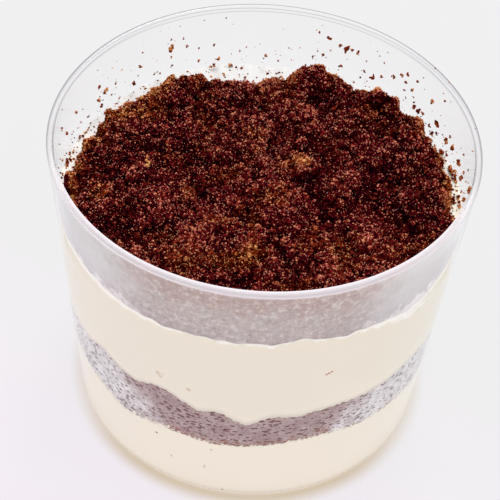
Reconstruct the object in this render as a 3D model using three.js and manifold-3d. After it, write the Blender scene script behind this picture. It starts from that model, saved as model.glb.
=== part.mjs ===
// A brownie cheesecake cup: a clear tapered plastic cup that holds, from the base up, cheesecake
// cream, brownie crumbs, more cream, and a loose heap of brownie crumbs.
// Millimetres, +Z up, the origin at the centre of the base, the front towards -Y.
// Azimuths are in degrees, 0 at the front and 90 at +X.

import * as THREE from "three";
import { mergeVertices } from "three/addons/utils/BufferGeometryUtils.js";
import Module from "manifold-3d";

const wasm = await Module();
wasm.setup();

// The cup: its outer wall is a straight taper between these two radii.
const cupHeight = 73;
const mouthRadius = 45;
const baseRadius = 39.8;
const wallThickness = 1.1;
const baseThickness = 1.6;
const cornerRadius = 3;
const rimThickness = 1.5;
const rimHeight = 1.5;
const cupSegments = 72;

// The fillings: their mean heights at the wall, and the gap that keeps neighbours apart.
const lowerCreamTop = 20.9;
const middleCrumbTop = 32.6;
const upperCreamTop = 56.2;
const gap = 0.3;
const fillSegments = 96;
const fillRadii = [0, 0.75, 1];
const crumbBite = 0.75;
const crumbBiteSteps = 5;

// The heap of crumbs on the upper cream.
const heapTop = 63;
const heapEdgeHeight = 2.8;
const heapShoulder = 7;
const heapRings = 24;
const heapRelief = 0.7;
const heapUnderside = 52;
const openSetback = { min: 0.3, max: 1.6 };
const undulations = [
  { height: 0.45, alongX: 0.47, alongY: 0.21, phase: 1 },
  { height: 0.35, alongX: -0.39, alongY: 0.31, phase: 2.4 },
];

// The crumbs that are large enough to stand out one by one.
const fusedCrumbs = 46;
const crumbRadius = { min: 1, max: 2 };
const crumbStretch = { min: 0.75, max: 1.25 };
const crumbFlatness = 0.8;
const crumbSeat = 0.15;
const crumbWander = 8;
const crumbMargin = 0.4;
const clumpFoot = 6;

// Where a filling stands higher or lower than its mean, at the wall.
const lowerCreamSwells = [
  { azimuth: -62, width: 8, rise: 0.6 },
  { azimuth: -39, width: 9, rise: -2.3 },
  { azimuth: -8, width: 10, rise: -0.6 },
  { azimuth: 22, width: 14, rise: 1.6 },
  { azimuth: 68, width: 9, rise: -1.5 },
  { azimuth: 130, width: 20, rise: 1 },
  { azimuth: -140, width: 25, rise: -1.2 },
];
const middleCrumbSwells = [
  { azimuth: -46, width: 6, rise: 2.3 },
  { azimuth: -25, width: 6, rise: 2.6 },
  { azimuth: -13, width: 3.5, rise: -1 },
  { azimuth: 0.5, width: 5, rise: -3.6 },
  { azimuth: 14, width: 6, rise: -1.1 },
  { azimuth: 55, width: 8, rise: 1.3 },
  { azimuth: 115, width: 14, rise: -1.4 },
  { azimuth: 165, width: 16, rise: 1.2 },
  { azimuth: -105, width: 16, rise: -1 },
];
const upperCreamSwells = [
  { azimuth: -58, width: 9, rise: 1 },
  { azimuth: -26, width: 12, rise: -0.5 },
  { azimuth: 14, width: 4.5, rise: 1.4 },
  { azimuth: 49, width: 8, rise: -1.7 },
  { azimuth: 105, width: 18, rise: 0.7 },
  { azimuth: -150, width: 30, rise: 0.6 },
];

// How far the heap stops short of the wall, so that a ring of cream shows.
const heapSetbacks = [
  { azimuth: -170, width: 27, rise: 8.2 },
  { azimuth: -115, width: 36, rise: 3.5 },
  { azimuth: -83, width: 7, rise: 1 },
  { azimuth: 177, width: 10, rise: 2 },
  { azimuth: 154, width: 12, rise: 4.2 },
  { azimuth: 118, width: 30, rise: 1.8 },
  { azimuth: 108, width: 6, rise: 1.3 },
  { azimuth: 87, width: 8, rise: 1.4 },
];

// Clumps of crumbs that stand out of the heap: where, how wide, how high above the cream.
const clumps = [
  { azimuth: 163, radius: 31.5, spread: 3.6, size: 2.6, top: 10, count: 9 },
  { azimuth: 153, radius: 33, spread: 2.4, size: 2, top: 7.6, count: 5 },
  { azimuth: 137, radius: 36, spread: 3, size: 2.1, top: 7.4, count: 6 },
  { azimuth: 124, radius: 38, spread: 1.6, size: 1.5, top: 6, count: 3 },
  { azimuth: -149, radius: 33, spread: 2.2, size: 1.8, top: 6.6, count: 4 },
  { azimuth: -82, radius: 40.5, spread: 1.4, size: 1.4, top: 4.6, count: 3 },
  { azimuth: 106, radius: 9, spread: 1, size: 1.9, top: 8.4, count: 3 },
];

const taper = (mouthRadius - baseRadius) / cupHeight;
const wallRun = wallThickness * Math.hypot(1, taper);
const innerCorner = cornerRadius - wallThickness;
const goldenAngle = 137.508;

const outerRadiusAt = (z) => baseRadius + taper * z;
const innerRadiusAt = (z) => outerRadiusAt(z) - wallRun;

const degreesBetween = (a, b) => Math.abs(((a - b + 540) % 360) - 180);

// The sum of the swells at an azimuth.
function swellAt(swells, azimuth) {
  return swells.reduce(
    (sum, swell) =>
      sum + swell.rise * Math.exp(-((degreesBetween(azimuth, swell.azimuth) / swell.width) ** 2)),
    0,
  );
}

// A surface between two fillings: level inside, swelling towards the wall. share is 0 on the
// axis and 1 at the wall.
function surface(mean, swells) {
  return (azimuth, share) => mean + swellAt(swells, azimuth) * share ** 3;
}

const lowerCreamSurface = surface(lowerCreamTop, lowerCreamSwells);
const middleCrumbSurface = surface(middleCrumbTop, middleCrumbSwells);
const upperCreamSurface = surface(upperCreamTop, upperCreamSwells);

// A seeded draw from 0 to 1, the same on each run.
let drawn = 7;
function draw() {
  drawn += 1;
  return THREE.MathUtils.seededRandom(drawn);
}

function arc(centreX, centreY, radius, from, to, steps) {
  const clockwise = to < from;
  return new THREE.EllipseCurve(centreX, centreY, radius, radius, from, to, clockwise).getPoints(steps);
}

// Turns a closed profile about +Z.
function turned(profile, segments) {
  return new THREE.LatheGeometry(profile, segments).rotateX(Math.PI / 2);
}

function merged(geometry) {
  const bare = geometry.clone();
  bare.deleteAttribute("normal");
  bare.deleteAttribute("uv");
  return mergeVertices(bare, 1e-4);
}

// A closed geometry as a solid that can be joined and cut, and a solid as a geometry.
function solidOf(geometry) {
  const shape = merged(geometry);
  return new wasm.Manifold(
    new wasm.Mesh({
      numProp: 3,
      vertProperties: shape.getAttribute("position").array,
      triVerts: new Uint32Array(shape.index.array),
    }),
  );
}

function geometryOf(solid) {
  const mesh = solid.getMesh();
  const geometry = new THREE.BufferGeometry();
  geometry.setAttribute("position", new THREE.BufferAttribute(mesh.vertProperties, mesh.numProp));
  geometry.setIndex(new THREE.BufferAttribute(mesh.triVerts, 1));
  geometry.computeVertexNormals();
  return geometry;
}

// The cup: a flat base, a rounded corner, a tapered wall and a slightly thicker rounded rim.
function cupGeometry() {
  const lean = Math.atan(taper);
  const cornerX = baseRadius - (cornerRadius * (1 - Math.sin(lean))) / Math.cos(lean);
  const bead = rimThickness / 2;
  const rimFoot = cupHeight - rimHeight;
  const innerFoot = baseThickness + innerCorner;
  const innerX = innerRadiusAt(innerFoot) - innerCorner;
  return turned(
    [
      new THREE.Vector2(0, 0),
      ...arc(cornerX, cornerRadius, cornerRadius, -Math.PI / 2, -lean, 4),
      new THREE.Vector2(outerRadiusAt(rimFoot), rimFoot),
      ...arc(mouthRadius - bead, cupHeight - bead, bead, 0, Math.PI, 4),
      new THREE.Vector2(innerRadiusAt(rimFoot), rimFoot),
      ...arc(innerX, innerFoot, innerCorner, -lean, -Math.PI / 2, 3),
      new THREE.Vector2(0, baseThickness),
    ],
    cupSegments,
  );
}

// A filling lies between two surfaces and against the wall. It starts as a drum whose profile
// holds x, the share of the radius, and y, the share of the height. inset is its distance from
// the inner wall, and bite how far each point of its side may be eaten away.
function fillingGeometry({ floorAt, topAt, inset = gap, heightSteps = 1, bite = 0 }) {
  const profile = fillRadii.map((share) => new THREE.Vector2(share, 0));
  for (let step = 1; step < heightSteps; step++) profile.push(new THREE.Vector2(1, step / heightSteps));
  profile.push(...fillRadii.toReversed().map((share) => new THREE.Vector2(share, 1)));
  const geometry = merged(turned(profile, fillSegments));
  const position = geometry.getAttribute("position");
  const hair = 0.001;
  for (let i = 0; i < position.count; i++) {
    const [x, y, rise] = [position.getX(i), position.getY(i), position.getZ(i)];
    const share = Math.hypot(x, y);
    const azimuth = THREE.MathUtils.radToDeg(Math.atan2(x, -y));
    const z = THREE.MathUtils.lerp(floorAt(azimuth, share), topAt(azimuth, share), rise);
    const onSide = share > 1 - hair && rise > hair && rise < 1 - hair;
    const radius = innerRadiusAt(z) - inset - (onSide ? bite * draw() : 0);
    position.setXYZ(i, x * radius, y * radius, z);
  }
  return geometry;
}

// The lower cream follows the rounded foot of the cup.
function lowerCreamGeometry() {
  const foot = baseThickness + gap;
  const footTop = foot + innerCorner;
  const overlap = 0.5; // lets the foot and the body join
  const body = fillingGeometry({ floorAt: () => footTop, topAt: lowerCreamSurface });
  const footRadius = innerRadiusAt(footTop) - gap;
  const footProfile = [
    new THREE.Vector2(0, foot),
    ...arc(footRadius - innerCorner, footTop, innerCorner, -Math.PI / 2, 0, 3),
    new THREE.Vector2(footRadius, footTop + overlap),
    new THREE.Vector2(0, footTop + overlap),
  ];
  return geometryOf(solidOf(body).add(solidOf(turned(footProfile, fillSegments))));
}

function middleCrumbGeometry() {
  return fillingGeometry({
    floorAt: (azimuth, share) => lowerCreamSurface(azimuth, share) + gap,
    topAt: middleCrumbSurface,
    heightSteps: crumbBiteSteps,
    bite: crumbBite,
  });
}

function upperCreamGeometry() {
  return fillingGeometry({
    floorAt: (azimuth, share) => middleCrumbSurface(azimuth, share) + gap,
    topAt: upperCreamSurface,
  });
}

const heapRadiusAt = (azimuth) => innerRadiusAt(upperCreamTop) - gap - swellAt(heapSetbacks, azimuth);

// The heap is level inside. Where it stops short of the wall it rolls off over its shoulder.
function heapHeight(azimuth, radius) {
  const setback = swellAt(heapSetbacks, azimuth);
  const open = THREE.MathUtils.smoothstep(setback, openSetback.min, openSetback.max);
  const edgeTop = THREE.MathUtils.lerp(heapTop, upperCreamTop + heapEdgeHeight, open);
  const inwards = THREE.MathUtils.clamp((heapRadiusAt(azimuth) - radius) / heapShoulder, 0, 1);
  return THREE.MathUtils.lerp(edgeTop, heapTop, Math.sin((inwards * Math.PI) / 2));
}

// Gentle hollows and rises, a centimetre or so across.
function undulation(x, y) {
  return undulations.reduce(
    (sum, wave) => sum + wave.height * Math.sin(wave.alongX * x + wave.alongY * y + wave.phase),
    0,
  );
}

// The heap's core: rings of points under a rough top, each ring with six more points than the
// one inside it, down to a level underside that lies within the cream.
function heapCore() {
  const positions = [];
  const index = [];
  const firstOf = (ring) => (ring === 0 ? 0 : 1 + 3 * ring * (ring - 1));
  for (let ring = 0; ring <= heapRings; ring++) {
    const ringPoints = Math.max(1, 6 * ring);
    for (let i = 0; i < ringPoints; i++) {
      const azimuth = (360 * i) / ringPoints;
      const angle = THREE.MathUtils.degToRad(azimuth);
      const ragged = ring === heapRings ? heapRelief * draw() : 0;
      const radius = (heapRadiusAt(azimuth) * ring) / heapRings - ragged;
      const [x, y] = [radius * Math.sin(angle), -radius * Math.cos(angle)];
      const rough = heapRelief * (2 * draw() - 1);
      positions.push(x, y, heapHeight(azimuth, radius) + undulation(x, y) + rough);
    }
  }
  for (let ring = 0; ring < heapRings; ring++) {
    const inner = (n) => firstOf(ring) + (ring ? n % (6 * ring) : 0);
    const outer = (n) => firstOf(ring + 1) + (n % (6 * (ring + 1)));
    for (let side = 0; side < 6; side++) {
      for (let k = 0; k <= ring; k++) {
        const [a, b] = [side * ring + k, side * (ring + 1) + k];
        index.push(inner(a), outer(b), outer(b + 1));
        if (k < ring) index.push(inner(a), outer(b + 1), inner(a + 1));
      }
    }
  }
  const edge = firstOf(heapRings);
  const edgeCount = 6 * heapRings;
  const foot = edge + edgeCount;
  const centre = foot + edgeCount;
  for (let i = 0; i < edgeCount; i++) {
    const next = (i + 1) % edgeCount;
    positions.push(positions[3 * (edge + i)], positions[3 * (edge + i) + 1], heapUnderside);
    index.push(edge + i, foot + i, foot + next);
    index.push(edge + i, foot + next, edge + next);
    index.push(foot + i, centre, foot + next);
  }
  positions.push(0, 0, heapUnderside);
  const geometry = new THREE.BufferGeometry();
  geometry.setAttribute("position", new THREE.Float32BufferAttribute(positions, 3));
  geometry.setIndex(index);
  return geometry;
}

// One crumb: an uneven, slightly flattened lump with twenty faces.
function crumb(size, azimuth, radius, z) {
  const geometry = merged(new THREE.IcosahedronGeometry(size, 0));
  const position = geometry.getAttribute("position");
  for (let i = 0; i < position.count; i++) {
    const stretch = THREE.MathUtils.lerp(crumbStretch.min, crumbStretch.max, draw());
    const [x, y, height] = [position.getX(i), position.getY(i), position.getZ(i)];
    position.setXYZ(i, x * stretch, y * stretch, height * stretch * crumbFlatness);
  }
  const angle = THREE.MathUtils.degToRad(azimuth);
  const spin = Math.PI * draw();
  return geometry.rotateZ(spin).translate(radius * Math.sin(angle), -radius * Math.cos(angle), z);
}

// The crumbs of the clumps, then smaller ones spread evenly over the heap.
function looseCrumbs() {
  const crumbs = [];
  for (const clump of clumps) {
    for (let i = 0; i < clump.count; i++) {
      const turn = THREE.MathUtils.degToRad(goldenAngle * i);
      const away = clump.spread * Math.sqrt(i / clump.count);
      const drop = (clump.top - clumpFoot) * (i / clump.count);
      const azimuth = clump.azimuth + THREE.MathUtils.radToDeg((away * Math.sin(turn)) / clump.radius);
      const radius = clump.radius + away * Math.cos(turn);
      crumbs.push(crumb(clump.size, azimuth, radius, upperCreamTop + clump.top - clump.size - drop));
    }
  }
  for (let i = 0; i < fusedCrumbs; i++) {
    const azimuth = (i * goldenAngle + crumbWander * draw()) % 360;
    const radius = (heapRadiusAt(azimuth) - crumbMargin) * Math.sqrt((i + draw()) / fusedCrumbs);
    const size = THREE.MathUtils.lerp(crumbRadius.min, crumbRadius.max, draw() ** 2);
    crumbs.push(crumb(size, azimuth, radius, heapHeight(azimuth, radius) + crumbSeat * size));
  }
  return crumbs;
}

function heapGeometry() {
  const creamBelow = fillingGeometry({
    floorAt: () => middleCrumbTop,
    topAt: (azimuth, share) => upperCreamSurface(azimuth, share) + gap,
    inset: 0,
  });
  const insideOfCup = fillingGeometry({ floorAt: () => middleCrumbTop, topAt: () => cupHeight });
  const heap = looseCrumbs()
    .reduce((whole, piece) => whole.add(solidOf(piece)), solidOf(heapCore()))
    .intersect(solidOf(insideOfCup))
    .subtract(solidOf(creamBelow));
  const bodies = heap.decompose().sort((a, b) => b.volume() - a.volume());
  return geometryOf(bodies[0]);
}

const clearPlastic = new THREE.MeshStandardMaterial({
  color: 0xf1f1f4,
  roughness: 0.12,
  metalness: 0,
  transparent: true,
  opacity: 0.3,
});
const cream = new THREE.MeshStandardMaterial({ color: 0xece2cf, roughness: 0.55, metalness: 0 });
const brownie = new THREE.MeshStandardMaterial({ color: 0x4b1d14, roughness: 0.85, metalness: 0 });

const dessert = new THREE.Group();
const pieces = [
  ["cup", cupGeometry(), clearPlastic],
  ["lower_cream", lowerCreamGeometry(), cream],
  ["middle_crumbs", middleCrumbGeometry(), brownie],
  ["upper_cream", upperCreamGeometry(), cream],
  ["crumb_topping", heapGeometry(), brownie],
];
for (const [name, geometry, material] of pieces) {
  const mesh = new THREE.Mesh(geometry, material);
  mesh.name = name;
  dessert.add(mesh);
}

export default dessert;
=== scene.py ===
# A brownie cheesecake cup: a clear plastic cup with cream, brownie crumbs, cream and a heap of crumbs.
# Metres, +Z up, the front of the cup towards -Y. Azimuths are in degrees, 0 at the front, 90 at +X.

import math

import bmesh
import bpy
import numpy as np
from mathutils import Matrix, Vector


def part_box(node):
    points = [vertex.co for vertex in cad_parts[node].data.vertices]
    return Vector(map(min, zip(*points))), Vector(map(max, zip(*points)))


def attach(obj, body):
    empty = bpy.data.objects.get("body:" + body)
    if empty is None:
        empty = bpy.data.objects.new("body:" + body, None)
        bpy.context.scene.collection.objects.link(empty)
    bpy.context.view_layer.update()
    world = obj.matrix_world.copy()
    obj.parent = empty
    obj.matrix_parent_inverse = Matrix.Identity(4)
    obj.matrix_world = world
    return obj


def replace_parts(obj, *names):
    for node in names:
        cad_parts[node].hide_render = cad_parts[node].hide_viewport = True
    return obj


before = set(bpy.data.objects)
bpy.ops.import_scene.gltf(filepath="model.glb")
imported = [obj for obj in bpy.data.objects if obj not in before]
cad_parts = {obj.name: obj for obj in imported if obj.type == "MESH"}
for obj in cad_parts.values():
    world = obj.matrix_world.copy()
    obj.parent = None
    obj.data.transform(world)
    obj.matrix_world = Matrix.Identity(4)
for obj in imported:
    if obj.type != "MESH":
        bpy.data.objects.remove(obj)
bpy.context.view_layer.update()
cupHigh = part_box("cup")[1]

mm = 0.001
tiny = 1e-6  # a length that counts as none
goldenAngle = 137.508


# Shader maths: an expression on values adds its Math nodes

class Value:
    def __init__(self, sheet, socket):
        self.sheet = sheet
        self.socket = socket

    def math(self, operation, first, second=0.0):
        return self.sheet.add("Math", {"operation": operation}, (first, second))

    def __add__(self, other):
        return self.math("ADD", self, other)

    def __sub__(self, other):
        return self.math("SUBTRACT", self, other)

    def __mul__(self, other):
        return self.math("MULTIPLY", self, other)

    def __truediv__(self, other):
        return self.math("DIVIDE", self, other)

    def __pow__(self, other):
        return self.math("POWER", self, other)

    def __radd__(self, other):
        return self.math("ADD", other, self)

    def __rsub__(self, other):
        return self.math("SUBTRACT", other, self)

    def __rmul__(self, other):
        return self.math("MULTIPLY", other, self)

    def __rtruediv__(self, other):
        return self.math("DIVIDE", other, self)

    def __rpow__(self, other):
        return self.math("POWER", other, self)

    def __abs__(self):
        return self.sheet.add("Math", {"operation": "ABSOLUTE"}, (self,))


class Sheet:  # the nodes of one material
    def __init__(self, name):
        self.material = bpy.data.materials.new(name)
        self.material.use_nodes = True
        self.tree = self.material.node_tree
        self.tree.nodes.clear()

    def add(self, kind, settings=None, values=(), output=0):
        node = self.tree.nodes.new("ShaderNode" + kind)
        for name, setting in (settings or {}).items():
            if name == "stops":
                setStops(node.color_ramp, setting)
            else:
                setattr(node, name, setting)
        pairs = values.items() if isinstance(values, dict) else enumerate(values)
        for name, value in pairs:
            if isinstance(value, Value):
                self.tree.links.new(value.socket, node.inputs[name])
            else:
                node.inputs[name].default_value = value
        return Value(self, node.outputs[output])

    def place(self):  # where a point is on the object
        return self.add("TexCoord", output="Object")

    def parts(self, place):
        node = self.add("SeparateXYZ", values=(place,)).socket.node
        return [Value(self, node.outputs[axis]) for axis in "XYZ"]

    def stretched(self, place, scale):
        return self.add("Mapping", values={"Vector": place, "Scale": scale})

    def noise(self, place, size, detail=2.0, roughness=0.5):
        values = {"Vector": place, "Scale": 1 / size, "Detail": detail, "Roughness": roughness}
        return self.add("TexNoise", values=values)

    def cells(self, place, size, output="Distance"):
        values = {"Vector": place, "Scale": 1 / size}
        return self.add("TexVoronoi", {"feature": "F1"}, values, output)

    def mix(self, share, first, second):
        return self.add("Mix", {"data_type": "RGBA"}, {0: share, 6: first, 7: second}, output=2)

    def step(self, value, low, high):  # 0 below low, 1 above high, smooth between
        settings = {"interpolation_type": "SMOOTHSTEP"}
        return self.add("MapRange", settings, {"Value": value, "From Min": low, "From Max": high})

    def fall(self, value, low, high):  # 1 below low, 0 above high
        return 1 - self.step(value, low, high)

    def bump(self, height, strength, distance):
        values = {"Height": height, "Strength": strength, "Distance": distance}
        return self.add("Bump", values=values)

    def attribute(self, name):
        return self.add("Attribute", {"attribute_name": name}, output="Fac")

    def cover(self, share, under, over):  # one shader laid over another
        return self.add("MixShader", values=(share, under, over))

    def finish(self, shader):
        output = self.tree.nodes.new("ShaderNodeOutputMaterial")
        self.tree.links.new(shader.socket, output.inputs["Surface"])
        return self.material

    def finishOpaque(self, values):
        return self.finish(self.add("BsdfPrincipled", values=values))


def setStops(ramp, stops):
    while len(ramp.elements) < len(stops):
        ramp.elements.new(1)
    for element, (position, colour) in zip(ramp.elements, stops):
        element.position = position
        element.color = colour


def paint(red, green, blue):  # a colour as it looks on screen, 0 to 255
    channels = [value / 255 for value in (red, green, blue)]
    linear = [c / 12.92 if c <= 0.04045 else ((c + 0.055) / 1.055) ** 2.4 for c in channels]
    return (*linear, 1)


# The camera, light and floor

view = {
    "place": (0, -0.2329, 0.2785),
    "heading": 0.354,
    "tilt": 44.14,
    "roll": 4.22,
    "lens": 108,
    "sensor": 36,
}
light = {
    "sky": (1, 1, 1, 1),
    "skyStrength": 1.12,
    "keyPlace": (0.14, 0.42, 0.8),
    "keySize": 0.3,
    "keyPower": 4.8,
    "keyColour": (1, 0.99, 0.98),
}
# a white light table that glows, with painted light and shade in its glow: brighter and pinker towards the
# front-left, a tan painted shadow right under the cup's edge, found by ambient occlusion and stronger in
# front, and a paler painted glow under the clear foot
table = {
    "half": 3,
    "grey": (0.08, 0.08, 0.08, 1),
    "roughness": 0.6,
    "glow": 0.73,
    "back": (1.02, 1.01, 1.025, 1),
    "front": (1.14, 1.04, 1.15, 1),
    "tintLean": 0.35,
    "tintFade": (-0.1, 0.03),
    # the painted shadow's tan, and below it the painted glow under the clear foot
    "paintedShadowTone": (0.78, 0.635, 0.45, 1),
    "contactReach": 4 * mm,
    "contactSamples": 8,
    "paintedShadowFade": (0.35, 1),
    "behindLoss": 0.5,
    "behindFade": (-0.034, -0.014),
    "footGlowTone": (0.97, 0.86, 0.74, 1),
    "footFade": (0.12, 0.32),
}


def makeCamera():
    data = bpy.data.cameras.new("camera")
    data.lens = view["lens"]
    data.sensor_width = view["sensor"]
    camera = bpy.data.objects.new("camera", data)
    turn = (
        Matrix.Rotation(math.radians(view["heading"]), 4, "Z")
        @ Matrix.Rotation(math.radians(view["tilt"]), 4, "X")
        @ Matrix.Rotation(math.radians(view["roll"]), 4, "Z")
    )
    camera.matrix_world = Matrix.Translation(view["place"]) @ turn
    bpy.context.collection.objects.link(camera)
    bpy.context.scene.camera = camera


def makeLight():
    world = bpy.data.worlds.new("sky")
    world.use_nodes = True
    background = world.node_tree.nodes["Background"]
    background.inputs["Color"].default_value = light["sky"]
    background.inputs["Strength"].default_value = light["skyStrength"]
    bpy.context.scene.world = world
    data = bpy.data.lights.new("key", "AREA")
    data.size = light["keySize"]
    data.energy = light["keyPower"]
    data.color = light["keyColour"]
    key = bpy.data.objects.new("key", data)
    place = Matrix.Translation(light["keyPlace"])
    away = place.translation.normalized()
    key.matrix_world = place @ away.to_track_quat("Z", "Y").to_matrix().to_4x4()
    bpy.context.collection.objects.link(key)


def makeFloor():
    shape = bmesh.new()
    bmesh.ops.create_grid(shape, x_segments=1, y_segments=1, size=table["half"])
    mesh = bpy.data.meshes.new("floor")
    shape.to_mesh(mesh)
    shape.free()
    sheet = Sheet("lightTable")
    x, y = sheet.parts(sheet.place())[:2]
    # painted light: the glow brighter and pinker towards the front-left
    towardsBack = sheet.step(y + table["tintLean"] * x, *table["tintFade"])
    tint = sheet.mix(towardsBack, table["front"], table["back"])
    # painted shadow: ambient occlusion turns the glow tan under the cup's edge, half as strong behind, with
    # a paler painted glow where it is deepest
    nearness = {"Distance": table["contactReach"]}
    clearance = sheet.add("AmbientOcclusion", {"samples": table["contactSamples"]}, nearness, output="AO")
    paintedShadow = sheet.fall(clearance, *table["paintedShadowFade"])
    paintedShadow = paintedShadow * (1 - table["behindLoss"] * sheet.step(y, *table["behindFade"]))
    paintedShadowColour = sheet.mix(sheet.step(clearance, *table["footFade"]), table["footGlowTone"], table["paintedShadowTone"])
    mesh.materials.append(sheet.finishOpaque({
        "Base Color": table["grey"],
        "Roughness": table["roughness"],
        "Specular IOR Level": 0.0,
        "Emission Color": sheet.mix(paintedShadow, tint, paintedShadowColour),
        "Emission Strength": table["glow"],
    }))
    floor = bpy.data.objects.new("floor", mesh)
    bpy.context.collection.objects.link(floor)


bpy.context.scene.view_settings.view_transform = "Standard"
makeCamera()
makeLight()
makeFloor()
print("camera, light and floor are set")


# Shared shapes

def polar(azimuth, radius):
    angle = np.radians(azimuth)
    return radius * np.sin(angle), -radius * np.cos(angle)


def spunMesh(name, profile, steps, frontReach=0):
    # turns an outline that starts and ends on the axis about +Z, or a closed one across the front, from
    # an azimuth to its opposite
    shape = bmesh.new()
    start = frontReach or 90  # a whole turn starts at +X
    points = [shape.verts.new((*polar(start, radius), height)) for radius, height in profile]
    ends = points[1:] + points[:1] if frontReach else points[1:]
    edges = [shape.edges.new(pair) for pair in zip(points, ends)]
    bmesh.ops.spin(
        shape, geom=points + edges, cent=(0, 0, 0), axis=(0, 0, 1),
        angle=math.radians(-2 * frontReach if frontReach else 360), steps=steps, use_merge=not frontReach,
    )
    if frontReach:
        bmesh.ops.holes_fill(shape, edges=[edge for edge in shape.edges if edge.is_boundary])
    bmesh.ops.remove_doubles(shape, verts=shape.verts, dist=tiny)
    bmesh.ops.recalc_face_normals(shape, faces=shape.faces)
    mesh = bpy.data.meshes.new(name)
    shape.to_mesh(mesh)
    shape.free()
    return mesh


def pointsOf(mesh):
    points = np.empty(len(mesh.vertices) * 3)
    mesh.vertices.foreach_get("co", points)
    return points.reshape(-1, 3)


def setPoints(mesh, points):
    mesh.vertices.foreach_set("co", points.ravel())
    mesh.update()


def addPiece(name, mesh, material, smooth=True):
    mesh.materials.append(material)
    mesh.polygons.foreach_set("use_smooth", [smooth] * len(mesh.polygons))
    piece = bpy.data.objects.new(name, mesh)
    bpy.context.collection.objects.link(piece)
    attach(piece, "root")
    return piece


def addField(mesh, name, numbers):
    # a number for each point, which a material can read
    layer = mesh.attributes.new(name, "FLOAT", "POINT")
    layer.data.foreach_set("value", np.ascontiguousarray(numbers, dtype=np.float32))


def azimuthOf(x, y):
    return np.degrees(np.arctan2(x, -y))


def smooth(value, low, high):
    share = np.clip((value - low) / (high - low), 0, 1)
    return share * share * (3 - 2 * share)


def blend(first, second, share):
    return first + (second - first) * share


def swellAt(swells, azimuth):
    total = np.zeros(np.shape(azimuth))
    for centre, width, rise in swells:
        away = (azimuth - centre + 180) % 360 - 180
        total = total + rise * mm * np.exp(-((away / width) ** 2))
    return total


def ripple(azimuth, seed, height, counts):
    # a fine uneven line round the cup
    draw = np.random.default_rng(seed)
    total = np.zeros(np.shape(azimuth))
    for count in counts:
        total = total + np.cos(np.radians(azimuth) * count + draw.uniform(0, 2 * math.pi))
    return height * total / math.sqrt(len(counts))


# The cup

cup = {
    "height": cupHigh.z,
    "mouthRadius": cupHigh.x,
    "baseRadius": 39.8 * mm,
    "wall": 1.1 * mm,
    "base": 1.6 * mm,
    "corner": 3 * mm,
    "rim": 1.5 * mm,
    "steps": 256,
    "arcSteps": 12,
}
taper = (cup["mouthRadius"] - cup["baseRadius"]) / cup["height"]
wallRun = cup["wall"] * math.hypot(1, taper)
innerCorner = cup["corner"] - cup["wall"]
rimFoot = cup["height"] - cup["rim"]


def outerRadiusAt(z):
    return cup["baseRadius"] + taper * z


def innerRadiusAt(z):
    return outerRadiusAt(z) - wallRun


def arc(centreX, centreZ, radius, start, end):
    steps = cup["arcSteps"]
    angles = [start + (end - start) * step / steps for step in range(steps + 1)]
    return [(centreX + radius * math.cos(a), centreZ + radius * math.sin(a)) for a in angles]


def cupMesh():
    lean = math.atan(taper)
    quarter = math.pi / 2
    bead = cup["rim"] / 2
    innerFoot = cup["base"] + innerCorner
    cornerX = cup["baseRadius"] - cup["corner"] * (1 - math.sin(lean)) / math.cos(lean)
    innerX = innerRadiusAt(innerFoot) - innerCorner
    beadX = cup["mouthRadius"] - bead
    thirds = [rimFoot / 3, rimFoot * 2 / 3, rimFoot]
    profile = [
        (0, 0),
        (cornerX / 2, 0),
        *arc(cornerX, cup["corner"], cup["corner"], -quarter, -lean),
        *[(outerRadiusAt(z), z) for z in thirds],
        *arc(beadX, cup["height"] - bead, bead, 0, math.pi),
        *[(innerRadiusAt(z), z) for z in reversed(thirds)],
        *arc(innerX, innerFoot, innerCorner, -lean, -quarter),
        (innerX / 2, cup["base"]),
        (0, cup["base"]),
    ]
    return spunMesh("cup_wall", profile, cup["steps"])


# each fade runs from one place to another, here and below
plastic = {
    "tint": (0.975, 0.975, 0.98, 1),
    "refraction": 1.47,
    "roughness": 0.03,
    "cornerRoughness": 0.2,
    "cornerFade": (2 * mm, 4 * mm),
    "leavingFade": (3 * mm, 6 * mm),
    "clearFade": (54.8 * mm, 55.8 * mm),
    "sheen": 0.012,
    "sheenAtEdge": 0.22,
    "sheenPower": 5,
    "sheenRoughness": 0.12,
    # painted shade: the grey of the thin lines at the rim bead's edges and foot
    "edgeShadeTint": (0.7, 0.69, 0.71, 1),
    # heights from the foot of the rim
    "beadFade": (0.3 * mm, 0.5 * mm),
    "footLineBelow": 0.2 * mm,
    "footLineAbove": 0.25 * mm,
    "rimShineRise": 0.9 * mm,
    "beadGrazing": (0.3, 0.55),
    # painted highlight: the milky white over the rim in front, fading round the sides
    "rimShineWhite": paint(238, 233, 237),
    "rimShine": 0.85,
    "rimShineThrough": 0.43,
    "rimShineFade": (-24 * mm, -8 * mm),
}


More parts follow.
